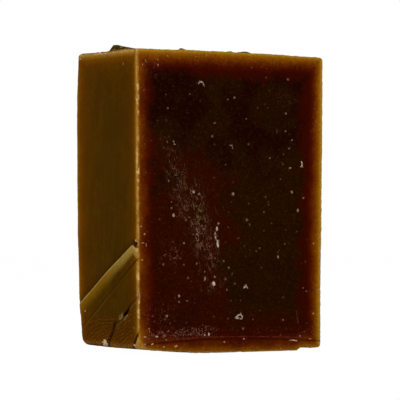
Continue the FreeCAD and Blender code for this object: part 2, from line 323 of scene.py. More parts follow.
# Hand-made soap, cast and cut: a dark, waxy, slightly clear mass. Light comes through it only
# at its edges, which glow from mustard through rust to near black over about eight millimetres.
# The moulded sides took the liner's dull skin, so they are olive brown.
SOAP_REACH = 12.0
CUT_STOPS = {0.0: "#947238", 0.5: "#86610f", 1.1: "#724202", 1.8: "#5e2d01", 2.6: "#4b1b00",
             3.5: "#380b00", 4.6: "#2b0500", 6.2: "#270500", 9.0: "#240500"}
CAST_STOPS = {0.0: "#9a7634", 0.6: "#7c5616", 1.2: "#603600", 2.2: "#4c2900", 3.6: "#422500",
              6.5: "#3a2300", 11.0: "#382200"}
SMOOTH = {"interpolation_type": "SMOOTHSTEP"}

soap = bpy.data.materials.new("cast_and_cut_soap")
soap.use_nodes = True
tree = soap.node_tree
tree.nodes.clear()
here = add("TexCoord").outputs["Object"]
mm = add("VectorMath", {0: here, "Scale": 1 / MM}, operation="SCALE")
marks = {}
for name in skin_marks:
    stored = add("Attribute", attribute_name=name).outputs["Vector"]
    marks[name] = add("SeparateXYZ", [stored]).outputs
left, front, foot = marks["under_low"]
right, back, top = marks["under_high"]
fold, crease, slit = marks["above_folds"]
corner_slit, pressed, behind = marks["above_lines"]
turn, wrinkled, across = marks["wrinkles"]
height = add("SeparateXYZ", [mm]).outputs[2]


def cloud(grain, start, end, low=0.0, high=1.0, detail=2.0, rough=0.5, place=mm):
    """A cloudy pattern with its grain in millimetres, spread between two levels."""
    noise = add("TexNoise", {"Vector": place, "Scale": 1 / grain, "Detail": detail, "Roughness": rough})
    return add("MapRange", [noise, start, end, low, high], **SMOOTH)


def near(way, reach, core=0.0, at=0.0):
    """One where a way is at its mark, falling to nothing at its reach on both sides."""
    off = add("Math", [way, at], operation="SUBTRACT")
    return add("MapRange", [add("Math", [off], operation="ABSOLUTE"), core, reach, 1.0, 0.0], **SMOOTH)


def paint(base, code, *shares):
    """Lays a colour over the base where all its shares meet."""
    share = shares[0]
    for other in shares[1:]:
        share = add("Math", [share, other], operation="MULTIPLY")
    return add("Mix", {0: share, 6: base, 7: linear(code)}, data_type="RGBA")


def nearest_edge(low_sides, high_sides):
    """The second smallest of the three ways to a side: the way to the nearest edge."""
    closer = add("VectorMath", [low_sides, high_sides], operation="MINIMUM")
    a, b, c = add("SeparateXYZ", [closer]).outputs
    smaller, larger = (add("Math", [a, b], operation=which) for which in ("MINIMUM", "MAXIMUM"))
    return add("Math", [smaller, add("Math", [larger, c], operation="MINIMUM")], operation="MAXIMUM")


# The glow is thinner along the left edge of the front, where the bar is seen into its depth, and
# along its foot, where less light comes in. It is full in both lower corners.
LEFT_GLOW_CUT_BACK, FOOT_GLOW_CUT_BACK = 1.3, 0.85
TOP_GLOW_SPREAD, TOP_GLOW_CUT_BACK = 0.86, 0.3
low_sides = add("CombineXYZ", [left, front, foot])
high_sides = add("CombineXYZ", [right, back, top])
left_cut_back = add("MapRange", [height, 2.5, 9.0, 0.0, LEFT_GLOW_CUT_BACK], **SMOOTH)
outermost = add("MapRange", [left, 0.8, 3.8, 1.0, 0.1])
left_cut_back = add("Math", [left_cut_back, outermost], operation="MULTIPLY")
foot_cut_back = add("MapRange", [across, 0.0, 4.0, -0.7, FOOT_GLOW_CUT_BACK], **SMOOTH)
over_chip = add("MapRange", [across, 49.0, 51.5, 0.0, 1.0], **SMOOTH)
foot_cut_back = add("Math", [foot_cut_back, over_chip], operation="SUBTRACT")
higher = add("MapRange", [foot, 1.8, 4.2, 0.0, 1.05], **SMOOTH)
foot_cut_back = add("Math", [foot_cut_back, higher], operation="SUBTRACT")
cut_back = add("CombineXYZ", [left_cut_back, 0.0, foot_cut_back])
widened, begun = (1.0, 1.0, TOP_GLOW_SPREAD), (0.0, 0.0, TOP_GLOW_CUT_BACK)
spread_sides = add("VectorMath", [high_sides, widened, begun], operation="MULTIPLY_ADD")
cut_edge = nearest_edge(add("VectorMath", [low_sides, cut_back], operation="ADD"), spread_sides)
# the glow reaches further in from the back and from the top of the moulded side
moulded_sides = add("VectorMath", [high_sides, (1.0, 0.5, 0.7)], operation="MULTIPLY")
cast_edge = nearest_edge(low_sides, moulded_sides)
slow, quick = cloud(9.0, 0.3, 0.7, -0.4, 0.4), cloud(1.6, 0.3, 0.7, -0.18, 0.18)
wander = add("Math", [slow, quick], operation="ADD")


def glow(edge, stops):
    """The colour of the skin by its way to the edge, made uneven away from the edge."""
    share = add("MapRange", [edge, 0.3, 3.0, 0.0, 1.0], **SMOOTH)
    uneven = add("Math", [edge, add("Math", [wander, share], operation="MULTIPLY")], operation="ADD")
    depth = add("Math", [uneven, SOAP_REACH], operation="DIVIDE", use_clamp=True)
    ramp = add("ValToRGB", [depth])
    elements = ramp.color_ramp.elements
    while len(elements) < len(stops):
        elements.new(0.5)
    for element, (way, code) in zip(elements, stops.items()):
        element.position = way / SOAP_REACH
        element.color = linear(code)
    return ramp


cut_colour = glow(cut_edge, CUT_STOPS)
cast_colour = glow(cast_edge, CAST_STOPS)

# inside the glow the cut soap is mottled: red low on the left, olive at the right, darkest above
INNER_CUT_BACK, INNER_TOP_CUT_BACK = 2.5, 1.6
wide = cloud(12.0, 0.25, 0.75, -9.0, 9.0, 3.0, 0.6)
inner_sides = add("VectorMath", [low_sides, (INNER_CUT_BACK, 0.0, 0.0)], operation="ADD")
top_cut_back = add("MapRange", [across, 16.0, 26.0, INNER_TOP_CUT_BACK, 0.0], **SMOOTH)
top_cut_back = add("CombineXYZ", [0.0, 0.0, top_cut_back])
inner_high_sides = add("VectorMath", [high_sides, top_cut_back], operation="ADD")
inner_way = nearest_edge(inner_sides, inner_high_sides)
inner_way = add("Math", [inner_way, cloud(5.0, 0.3, 0.7, -1.4, 1.4)], operation="ADD")
inner = add("MapRange", [inner_way, 5.2, 8.8, 0.0, 0.95], **SMOOTH)
along = add("Math", [across, wide], operation="ADD")
level = add("Math", [height, wide], operation="ADD")
leftward = add("MapRange", [along, 24.0, 34.0, 1.0, 0.0], **SMOOTH)
upper = add("MapRange", [level, 44.0, 58.0, 0.0, 1.0], **SMOOTH)
lower = add("MapRange", [level, 60.0, 46.0, 0.0, 1.0], **SMOOTH)
footward = add("MapRange", [height, 14.0, 8.0, 0.0, 0.9], **SMOOTH)
mottle = paint(linear("#1a0a00"), "#240600", leftward, lower)
mottle = paint(mottle, "#180900", upper)
mottle = paint(mottle, "#250700", footward)
near_corner = [near(across, 14.0, 7.0, 5.0), near(height, 13.0, 6.0, 74.0)]
corner_dark = add("Math", near_corner, operation="MULTIPLY")
mottle = paint(mottle, "#110200", corner_dark, cloud(5.0, 0.32, 0.55, 0.3, 0.9, 2.0, 0.6))
mottle = paint(mottle, "#120200", cloud(9.0, 0.44, 0.6, 0.0, 0.9, 1.0, 0.4), upper)
mottle = paint(mottle, "#140400", cloud(5.0, 0.5, 0.7, 0.0, 0.4, 3.0, 0.6))
mottle = paint(mottle, "#2c1606", cloud(0.9, 0.45, 0.8, 0.0, 0.42, 3.0, 0.7))
cut_colour = add("Mix", {0: inner, 6: cut_colour, 7: mottle}, data_type="RGBA")

# the knife drew faint upright streaks down from the top edge
drawn = add("VectorMath", [mm, (1.0, 1.0, 0.14)], operation="MULTIPLY")
top_band = add("MapRange", [top, 0.8, 5.0, 1.0, 0.0], **SMOOTH)
cut_colour = paint(cut_colour, "#8a5a1c", top_band, cloud(0.55, 0.5, 0.72, 0.0, 0.14, 2.0, 0.6, drawn))
cut_colour = paint(cut_colour, "#2c0c02", top_band, cloud(0.8, 0.5, 0.74, 0.0, 0.18, 2.0, 0.6, drawn))

# near its edges the cut soap is a little grainy, with paler and darker flecks
rim = add("MapRange", [cut_edge, 1.0, 4.5, 1.0, 0.0], **SMOOTH)
cut_colour = paint(cut_colour, "#b08a45", cloud(0.55, 0.62, 0.8, 0.0, 0.4, 2.0, 0.6), rim)
cut_colour = paint(cut_colour, "#3c1a02", cloud(0.8, 0.58, 0.8, 0.0, 0.35, 2.0, 0.6), rim)


def front_patch(start, end, reach):
    """The share of a patch round a line on the front, and the ways along and across that line."""
    dx, dz = end[0] - start[0], end[1] - start[1]
    length = math.hypot(dx, dz)
    middle = ((start[0] + end[0] - WIDTH) / 2, 0, (start[1] + end[1]) / 2)
    moved = add("VectorMath", [mm, middle], operation="SUBTRACT")
    along = add("VectorMath", [moved, (dx / length, 0, dz / length)], operation="DOT_PRODUCT")
    aside = add("VectorMath", [moved, (-dz / length, 0, dx / length)], operation="DOT_PRODUCT")
    ends = near(along, length / 2 + reach, length / 2 - reach)
    sides = near(aside, reach)
    return add("Math", [ends, sides], operation="MULTIPLY"), along, aside


on_front = add("MapRange", [front, 0.6, 1.0, 1.0, 0.0], **SMOOTH)

# scuffs: a net of fine pale scratches, worn along one way across the middle of the front
SCUFFS = [
    ((11.2, 53.4), (13.8, 40.0), 4.4, "#74503e"), ((16.4, 44.0), (19.2, 31.0), 5.5, "#86704a"),
    ((20.2, 34.5), (23.6, 19.0), 5.5, "#785040"),
]
# its threads: how long and thin their grain is, how wide they are, and how strong
THREADS = [(9.0, 1.1, 0.04, 0.95), (4.5, 0.7, 0.045, 0.75), (1.3, 0.8, 0.05, 0.6)]
curls = near(cloud(0.9, 0.3, 0.7, 0.0, 1.0, 0.0), 0.16, 0.04, 0.5)
for start, end, reach, pale in SCUFFS:
    scuffed, along, aside = front_patch(start, end, reach)
    for long, thin, wide, strength in THREADS:
        length = add("Math", [along, long], operation="DIVIDE")
        breadth = add("Math", [aside, thin], operation="DIVIDE")
        stretched = add("CombineXYZ", [length, breadth])
        weave = {"Vector": stretched, "Scale": 1.0, "Detail": 1.0, "Distortion": 0.15}
        threads = add("TexNoise", weave)
        thread = near(threads, wide, 0.0, 0.5)
        broken = cloud(0.7, 0.5, 0.66, 0.0, strength, 2.0, 0.6, stretched)
        drift = cloud(3.0, 0.4, 0.56, 0.1, 1.0)
        cut_colour = paint(cut_colour, pale, thread, broken, drift, scuffed, on_front)
    film = cloud(2.0, 0.46, 0.8, 0.0, 0.15, 3.0, 0.7)
    cut_colour = paint(cut_colour, "#553420", film, scuffed, on_front)
    broken = cloud(1.5, 0.54, 0.64, 0.0, 0.6, 1.0)
    cut_colour = paint(cut_colour, pale, curls, broken, scuffed, on_front)

# faint reddish curls lie together in a few places: across, up, and how far they reach
CURLED = [
    (6.5, 8.5, 6.5, "#6a3c34"), (10.5, 27.0, 4.5, "#6a3c34"), (4.5, 77.0, 4.0, "#5e3228"),
    (45.9, 68.9, 3.2, "#443022"), (8.8, 57.6, 2.4, "#503628"),
]
for x, z, reach, dull in CURLED:
    sides = near(across, reach, 0.3 * reach, x)
    spread = add("Math", [sides, near(height, reach, 0.3 * reach, z)], operation="MULTIPLY")
    broken = cloud(1.5, 0.44, 0.6, 0.0, 0.6, 1.0)
    cut_colour = paint(cut_colour, dull, curls, broken, spread, on_front)

# rough pale marks and dull threads where the front was pressed, just above the pressed line
rough = cloud(0.6, 0.53, 0.65, 0.0, 0.7, 3.0, 0.7)
above_press = near(pressed, 2.0, 0.2, 2.3)
leftmost = add("MapRange", [across, 21.0, 26.0, 1.0, 0.12], **SMOOTH)
cut_colour = paint(cut_colour, "#7c5444", rough, above_press, leftmost, on_front)
edge_line = near(pressed, 0.24, 0.02, 0.75)
cut_colour = paint(cut_colour, "#5e2a1c", edge_line, cloud(2.2, 0.36, 0.65, 0.1, 0.6), on_front)
# the pressed line's groove is painted darker, as the shade in it
cut_colour = paint(cut_colour, "#2e0800", near(pressed, 0.4), 0.65, on_front)
upright = front_patch((50.1, 11.0), (51.4, 3.4), 0.3)[0]
cut_colour = paint(cut_colour, "#5a3026", upright, cloud(1.2, 0.42, 0.62, 0.0, 0.5), on_front)

# tiny crystals and cut bubbles show as soft pale specks, most of them in drifts
bend = add("TexNoise", {"Vector": mm, "Scale": 1.4}).outputs["Color"]
bent = add("VectorMath", [mm, bend], operation="ADD")
for cell, size, pale, strength in ((4.3, 0.5, "#7a5c4e", 0.7), (1.9, 0.38, "#5c3e30", 0.55)):
    spots = add("TexVoronoi", {"Vector": bent, "Scale": 1 / cell})
    spot = add("MapRange", [spots, size / cell * 0.2, size / cell, 1.0, 0.0], **SMOOTH)
    drift = cloud(cell * 1.6, 0.48, 0.64, 0.0, strength, 2.0, 0.6)
    cut_colour = paint(cut_colour, pale, spot, drift)

# the moulded skin is a little streaky, along the liner's grain
upright_grain = add("VectorMath", [mm, (1.0, 1.0, 0.16)], operation="MULTIPLY")
cast_colour = paint(cast_colour, "#523400", cloud(1.8, 0.4, 0.75, 0.0, 0.2, 3.0, 0.6, upright_grain))
cast_colour = paint(cast_colour, "#301c00", cloud(7.0, 0.55, 0.8, 0.0, 0.3))
cast_colour = paint(cast_colour, "#483700", cloud(4.0, 0.5, 0.8, 0.0, 0.25, 3.0, 0.6))

# under the fold the lapped paper left a strip, and the light it catches is painted in as a paler strip,
# which fades towards the back
on_left = near(left, 1.8, 1.3)
strip_way = add("Math", [fold, cloud(4.0, 0.3, 0.7, -0.15, 0.15)], operation="ADD")
strip_core = add("MapRange", [behind, 1.0, 22.0, -1.3, 0.0])
strip_end = add("MapRange", [behind, 0.0, 18.0, -2.7, -4.7])
strip = add("MapRange", [strip_way, strip_end, strip_core, 0.0, 0.95], **SMOOTH)
under_fold = add("MapRange", [fold, -0.05, 0.12, 1.0, 0.0], **SMOOTH)
cast_colour = paint(cast_colour, "#6d4d04", strip, under_fold, on_left)
frontward = add("MapRange", [behind, 21.0, 2.0, 0.0, 1.0], **SMOOTH)
# nearer the front the painted light on the strip is brighter
cast_colour = paint(cast_colour, "#886e34", strip, under_fold, frontward, 0.8, on_left)
# a painted highlight along the fold's lip, where its upper edge catches the light
fold_lip_highlight, patchy = near(fold, 0.4, 0.1, -0.2), cloud(1.4, 0.3, 0.6, 0.3, 0.8)
cast_colour = paint(cast_colour, "#967e4a", fold_lip_highlight, patchy, on_left)

# each crease and slit, and the band just above the fold, is painted dark inside as the shade in it; the
# crease's lower lip is painted paler as the light it catches, and the slits' lower lips are a little
# paler
# painted shade in the hollow just above the fold
cast_colour = paint(cast_colour, "#2c1400", near(fold, 0.5, 0.1, 0.4), 0.75, on_left)
cast_colour = paint(cast_colour, "#2e1800", near(fold, 1.7, 0.2, 1.1), 0.3, on_left)
patchy = cloud(3.5, 0.3, 0.6, 0.35, 0.85)
cast_colour = paint(cast_colour, "#2a1200", near(crease, 0.42), patchy, on_left)
foremost = add("MapRange", [behind, 12.0, 6.0, 0.0, 0.6], **SMOOTH)
cast_colour = paint(cast_colour, "#2c1400", near(crease, 0.65, 0.15, -0.1), foremost, on_left)
hindmost = add("MapRange", [behind, 14.0, 22.0, 0.1, 0.35], **SMOOTH)
# painted light on the crease's lower lip
cast_colour = paint(cast_colour, "#5e3e0e", near(crease, 0.5, 0.1, -0.7), hindmost, on_left)
in_slit = near(slit, 0.4, 0.1)
at_gash = near(behind, 2.7, 1.2, 7.0)
at_throat = add("MapRange", [behind, 12.6, 13.6, 0.0, 0.9], **SMOOTH)
cast_colour = paint(cast_colour, "#5c3d12", near(slit, 0.5, 0.0, -0.9), 0.5, on_left)
# painted shade inside the slits, deepest in the gash and the throat
cast_colour = paint(cast_colour, "#241000", in_slit, 0.6, on_left)
cast_colour = paint(cast_colour, "#080200", near(slit, 0.8, 0.35), at_gash, on_left)
cast_colour = paint(cast_colour, "#1c0600", near(slit, 1.7, 1.0), at_throat, on_left)
throat = add("Math", [near(slit, 1.5, 0.4), near(behind, 1.7, 0.5, 13.4)], operation="MULTIPLY")
cast_colour = paint(cast_colour, "#100300", throat, 0.75, on_left)
frontmost = add("MapRange", [behind, 3.6, 4.6, 0.9, 0.0], **SMOOTH)
cast_colour = paint(cast_colour, "#2c0c00", near(corner_slit, 1.0, 0.5), frontmost, on_left)
under_corner = add("MapRange", [corner_slit, -0.9, -1.6, 0.0, 0.8], **SMOOTH)
cast_colour = paint(cast_colour, "#a67e3c", under_corner, frontmost, on_left)
smear = add("Math", [near(slit, 0.9, 0.1, 0.6), near(behind, 1.6, 0.4, 9.7)], operation="MULTIPLY")
low_smear = add("Math", [near(slit, 0.8, 0.1, -1.3), near(behind, 1.4, 0.4, 6.9)], operation="MULTIPLY")
for patch in (smear, low_smear):
    crumbly = cloud(0.5, 0.44, 0.6, 0.0, 0.95, 3.0, 0.6)
    cast_colour = paint(cast_colour, "#8f7042", patch, crumbly, on_left)
# the notch by the front end of the strip is painted dark, as the shade in it
notch = add("Math", [near(behind, 1.7, 0.9, 1.4), near(fold, 0.9, 0.4, 0.9)], operation="MULTIPLY")
cast_colour = paint(cast_colour, "#331200", notch, 0.85, on_left)

# the wrinkles fan out from the slits: thin dark lines are painted as the shade in their troughs and
# paler lines as the light on their ridges
uneven_turn = add("Math", [turn, cloud(1.7, 0.3, 0.7, -1.6, 1.6)], operation="ADD")
wave = add("Math", [uneven_turn], operation="SINE")
trough_shade = add("MapRange", [wave, 0.1, 1.0, 0.0, 1.0], **SMOOTH)
ridge_light = add("MapRange", [wave, -0.3, -1.0, 0.0, 1.0], **SMOOTH)
dark_lengths, pale_lengths = cloud(2.6, 0.35, 0.65, 0.1, 0.55), cloud(2.1, 0.35, 0.65, 0.05, 0.5)
cast_colour = paint(cast_colour, "#4a2200", wrinkled, 0.35, on_left)
cast_colour = paint(cast_colour, "#2e1500", trough_shade, wrinkled, on_left, dark_lengths)
cast_colour = paint(cast_colour, "#5e3e0e", ridge_light, wrinkled, on_left, pale_lengths)

cut_way = add("Math", [front, add("Math", [right, top], operation="MINIMUM")], operation="MINIMUM")
cast_way = add("Math", [left, add("Math", [back, foot], operation="MINIMUM")], operation="MINIMUM")
nearer_cut = add("Math", [cast_way, cut_way], operation="SUBTRACT")
is_cut = add("MapRange", [nearer_cut, -0.2, 0.25, 0.0, 1.0], **SMOOTH)
colour = add("Mix", {0: is_cut, 6: cast_colour, 7: cut_colour}, data_type="RGBA")

# the lower left corner of the front is thin, and glows all over
corner_way = add("Math", [across, add("Math", [height, 0.9], operation="MULTIPLY")], operation="ADD")
corner = add("MapRange", [corner_way, 5.2, 4.4, 0.0, 0.85], **SMOOTH)
cut_corner = cloud(0.7, 0.36, 0.6, 0.4, 1.0, 2.0, 0.6)
colour = paint(colour, "#8c6424", corner, cut_corner, on_front)

# the arrises between the moulded side and the cut faces catch cream light in ragged lengths
left_arrises = add("Math", [left, add("Math", [front, top], operation="MINIMUM")], operation="MAXIMUM")
arris = add("MapRange", [left_arrises, 0.25, 0.8, 1.0, 0.0], **SMOOTH)
foot_arris = add("Math", [front, foot], operation="MAXIMUM")
foot_arris = add("MapRange", [foot_arris, 0.1, 0.5, 0.4, 0.0], **SMOOTH)
colour = paint(colour, "#a98d55", foot_arris, cloud(1.5, 0.4, 0.6, 0.2, 1.0, 3.0, 0.6))
colour = paint(colour, "#845c1e", arris, 0.45)
squashed = add("VectorMath", [mm, (1.0, 1.0, 0.45)], operation="MULTIPLY")
colour = paint(colour, "#b6965c", arris, cloud(0.8, 0.46, 0.6, 0.0, 0.85, 3.0, 0.65, squashed),
               cloud(9.0, 0.38, 0.58, 0.2, 1.0))

# the torn slivers on the top are painted dark olive, as the shade they stand in, with paler patches
# painted as the light on their flanks
sliver = add("MapRange", [top, -0.5, -0.22, 1.0, 0.0], **SMOOTH)
lit_flank_grain = add("VectorMath", [mm, (1.0, 1.0, 2.2)], operation="MULTIPLY")
colour = paint(colour, "#2b2408", sliver, 0.95)
colour = paint(colour, "#7a6430", sliver, cloud(1.1, 0.5, 0.68, 0.0, 0.75, 3.0, 0.6, lit_flank_grain))

# a fine waxy grain lies over it all, strongest in the dark middle of the cut faces
dark_middle = add("Math", [inner, is_cut], operation="MULTIPLY")
dimmest = add("MapRange", [dark_middle, 0.0, 1.0, 0.84, 0.74])
brightest = add("MapRange", [dark_middle, 0.0, 1.0, 1.16, 1.28])
fine_grain = add("TexNoise", {"Vector": mm, "Scale": 1 / 0.45, "Detail": 3.0, "Roughness": 0.75})
grained = add("MapRange", [fine_grain, 0.34, 0.66, dimmest, brightest], **SMOOTH)
colour = add("VectorMath", {0: colour, "Scale": grained}, operation="SCALE")

grain = add("TexNoise", {"Vector": mm, "Scale": 2.0, "Detail": 2.0, "Roughness": 0.6})
bump = add("Bump", {"Strength": 0.35, "Distance": 0.05 * MM, "Height": grain})
polish = cloud(2.2, 0.3, 0.7, 0.5, 0.64)
body = add("BsdfPrincipled", {"Base Color": colour, "Roughness": polish, "IOR": 1.46,
                              "Specular IOR Level": 0.002, "Normal": bump})
add("OutputMaterial", {"Surface": body})

bar.data.materials.clear()
bar.data.materials.append(soap)
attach(bar, "root")
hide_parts("soap_bar")

# Dried bits: the same soap, dried pale in opened bubbles, in rings round their mouths, in short
# strokes and in crumbs along the cut edges. Each is a small shape half sunk in the skin.
# Places on the front are ways from its left edge and up, then come half the width and the height,
# and how pale the bit is.
BUBBLE_PLUGS = [
    (33.8, 17.6, 0.18, 0.2, 0.7), (22.2, 5.1, 0.22, 0.42, 1.1), (20.9, 4.95, 0.28, 0.3, 0.8),
    (23.8, 18.7, 0.45, 0.55, 1.1), (24.1, 20.6, 0.25, 0.35, 0.6), (9.3, 57.0, 0.14, 0.4, 0.5),
    (17.5, 43.5, 0.36, 0.4, 0.8), (19.1, 43.0, 0.28, 0.28, 0.6), (11.3, 37.3, 0.38, 0.46, 0.8),
    (21.0, 20.1, 0.24, 0.6, 0.7), (20.9, 22.0, 0.2, 0.36, 0.5), (48.6, 43.6, 0.42, 0.36, 0.6),
    (12.9, 15.6, 0.28, 0.42, 0.7), (12.9, 14.0, 0.3, 0.28, 0.55), (15.4, 14.2, 0.26, 0.22, 0.4),
    (29.8, 43.0, 0.38, 0.44, 0.65), (11.6, 56.4, 0.32, 0.26, 0.6), (50.5, 38.6, 0.32, 0.5, 0.6),
    (14.4, 29.8, 0.28, 0.28, 0.6), (44.2, 25.8, 0.3, 0.48, 0.65), (9.2, 10.3, 0.32, 0.32, 0.6),
    (15.1, 36.0, 0.26, 0.32, 0.5), (47.3, 74.6, 0.36, 0.32, 0.45), (48.0, 50.2, 0.42, 0.26, 0.5),
    (28.5, 23.0, 0.28, 0.26, 0.5), (26.8, 24.9, 0.26, 0.24, 0.4), (48.6, 57.9, 0.3, 0.28, 0.4),
    (45.7, 8.5, 0.3, 0.3, 0.5), (39.6, 38.1, 0.26, 0.26, 0.4), (9.5, 66.0, 0.3, 0.26, 0.4),
    (46.6, 65.1, 0.3, 0.32, 0.4), (52.3, 42.0, 0.28, 0.28, 0.5), (9.8, 46.5, 0.22, 0.45, 0.35),
    (27.4, 20.0, 0.45, 0.5, 0.25), (27.9, 17.0, 0.28, 0.42, 0.3), (33.9, 63.5, 0.26, 0.24, 0.35),
    (55.6, 29.5, 0.24, 0.24, 0.5), (52.2, 17.2, 0.26, 0.22, 0.35), (53.3, 16.3, 0.26, 0.22, 0.35),
    (28.2, 68.7, 0.26, 0.26, 0.4), (23.3, 58.6, 0.3, 0.32, 0.45), (16.3, 69.9, 0.3, 0.24, 0.3),
    (24.1, 62.2, 0.55, 0.2, 0.3), (46.5, 60.3, 0.3, 0.28, 0.45), (47.7, 55.6, 0.32, 0.28, 0.4),
    (45.7, 51.2, 0.26, 0.24, 0.3), (34.7, 56.6, 0.34, 0.32, 0.15), (27.5, 51.0, 0.24, 0.24, 0.3),
    (10.6, 39.2, 0.34, 0.34, 0.45), (10.6, 40.8, 0.26, 0.26, 0.3), (36.2, 8.8, 0.28, 0.24, 0.4),
    (28.2, 9.2, 0.26, 0.22, 0.3), (32.2, 14.1, 0.26, 0.26, 0.25), (34.1, 36.0, 0.32, 0.38, 0.5),
    (35.0, 34.8, 0.26, 0.24, 0.4), (38.2, 28.3, 0.3, 0.28, 0.4), (37.1, 27.5, 0.22, 0.34, 0.2),
    (24.1, 25.6, 0.3, 0.36, 0.3), (10.0, 26.3, 0.28, 0.24, 0.3), (11.9, 25.9, 0.22, 0.22, 0.3),
    (13.4, 25.6, 0.22, 0.26, 0.3), (14.4, 24.0, 0.22, 0.22, 0.35), (39.6, 33.0, 0.24, 0.24, 0.3),
    (25.2, 35.0, 0.3, 0.28, 0.6), (19.9, 34.5, 0.3, 0.4, 0.3), (31.5, 31.0, 0.3, 0.28, 0.15),
    (2.7, 78.7, 0.1, 0.4, 0.3), (1.8, 77.6, 0.1, 0.3, 0.2), (6.5, 77.5, 0.22, 0.3, 0.4),
    (6.4, 78.9, 0.1, 0.25, 0.2),
]
FOOT_BITS = [
    (6.1, 4.8, 0.42, 0.2, 1.0), (8.4, 4.95, 0.6, 0.16, 0.5), (4.9, 2.8, 0.34, 0.3, 1.0),
    (2.7, 2.8, 0.3, 0.24, 0.8), (2.5, 4.8, 0.34, 0.2, 0.5), (12.0, 2.1, 0.4, 0.24, 0.6),
    (8.3, 2.0, 0.36, 0.2, 0.3), (9.0, 3.9, 0.4, 0.18, 0.2), (31.3, 9.6, 0.3, 0.24, 0.6),
    (51.3, 4.0, 0.26, 0.24, 0.5), (54.5, 3.1, 0.5, 0.16, 0.45), (55.6, 10.1, 0.24, 0.24, 0.5),
    (3.8, 7.0, 0.3, 0.16, 0.2), (3.9, 6.3, 0.14, 0.5, 0.1), (33.4, 3.6, 0.32, 0.22, 0.7),
    (27.1, 2.9, 0.24, 0.18, 0.4), (1.3, 34.3, 0.3, 0.16, 0.1), (2.4, 32.2, 0.24, 0.24, 0.2),
    (1.8, 29.9, 0.5, 0.14, 0.1), (2.9, 29.4, 0.14, 0.4, 0.1), (1.5, 25.4, 0.4, 0.14, 0.1),
]
BUBBLE_RINGS = [
    (18.6, 31.3, 0.36, 0.85, 0.35), (15.0, 39.4, 0.5, 0.9, 0.15),
    (13.0, 5.9, 0.6, 0.8, 0.05), (15.3, 5.6, 0.6, 0.5, 0.1), (17.6, 5.8, 0.7, 0.6, 0.1),
    (19.7, 5.5, 0.5, 0.5, 0.15),
]
# Strokes run from one place to another, and have half their thickness and how pale they are: a
# heart low on the front, a hook high on it, a chain of merged drops, and the longest scratches.
STROKES = [
    (30.7, 9.35, 31.3, 10.0, 0.2, 1.0), (31.3, 10.0, 32.2, 10.25, 0.2, 1.0),
    (32.2, 10.25, 32.8, 9.7, 0.2, 1.0), (32.8, 9.7, 32.7, 9.1, 0.22, 0.9),
    (32.7, 9.1, 32.0, 9.1, 0.2, 0.9), (31.6, 9.3, 30.8, 9.2, 0.2, 1.0),
    (32.1, 10.4, 32.4, 10.8, 0.14, 0.5), (47.9, 2.85, 48.6, 2.9, 0.14, 0.5),
    (48.9, 3.0, 50.3, 2.6, 0.17, 1.1), (19.0, 72.8, 19.5, 73.4, 0.2, 0.7),
    (19.5, 73.4, 20.4, 73.1, 0.24, 0.9), (20.4, 73.1, 20.8, 72.2, 0.2, 0.6),
    (24.8, 33.9, 24.6, 33.3, 0.3, 0.9), (24.1, 32.4, 24.4, 30.9, 0.24, 0.9),
    (24.8, 30.2, 25.2, 28.9, 0.32, 1.2), (24.4, 30.9, 24.8, 30.2, 0.18, 0.7),
    (23.6, 32.2, 24.9, 31.5, 0.14, 0.4), (25.5, 30.6, 25.0, 29.6, 0.14, 0.5),
    (28.8, 56.2, 29.5, 56.2, 0.2, 0.5), (29.6, 56.0, 29.7, 55.4, 0.18, 0.5),
    (19.2, 43.4, 19.7, 42.4, 0.14, 0.4), (24.0, 39.8, 25.0, 36.9, 0.08, 0.0),
    (21.4, 25.4, 22.5, 22.0, 0.08, 0.1), (18.9, 25.4, 20.0, 22.2, 0.08, 0.05),
    (43.9, 60.9, 43.6, 59.6, 0.1, 0.25), (33.8, 18.2, 33.3, 17.4, 0.18, 1.0),
    (33.8, 18.2, 34.3, 17.4, 0.18, 0.9), (51.7, 52.0, 51.9, 51.3, 0.16, 1.1),
    (51.9, 51.3, 51.8, 50.6, 0.16, 1.1), (51.4, 50.6, 52.1, 50.6, 0.14, 1.0),
    (8.4, 58.2, 8.7, 58.3, 0.12, 0.3), (11.2, 57.2, 11.5, 56.8, 0.12, 0.7),
]
# Places on the moulded side are ways behind the front and up.
SIDE_CRUMBS = [
    (18.3, 2.7, 0.7, 0.6, 1.4), (19.0, 2.2, 0.6, 0.5, 1.3), (17.7, 2.2, 0.5, 0.4, 1.3),
    (18.8, 3.1, 0.45, 0.4, 1.5), (19.6, 2.6, 0.4, 0.4, 1.1), (30.2, 10.9, 0.32, 0.32, 0.7),
    (2.2, 7.2, 0.2, 0.34, 0.3), (2.6, 2.6, 0.6, 0.3, 1.2), (1.5, 2.4, 0.5, 0.3, 0.9),
    (0.9, 30.6, 0.4, 0.3, 0.8), (0.4, 16.3, 0.3, 0.9, 0.8), (7.2, 77.9, 0.16, 0.45, 0.6),
    (17.5, 81.1, 0.7, 0.2, 1.1), (12.9, 81.3, 0.6, 0.2, 1.1), (32.1, 80.4, 0.5, 0.3, 0.8),
    (21.5, 81.0, 0.6, 0.18, 0.8),
]
RIM_DIMMING, GROWN, PALEST, WARM_REACH, MOST_WARM, SIDE_WARM = 0.55, 1.15, 1.5, 5.5, 0.65, 0.3
RING_LEAN, BLOB_LEAN, RING_PROUD, BLOB_PROUD = 0.2, 0.06, 0.5, 0.2
skin = vertex_places(bar)
bits = []


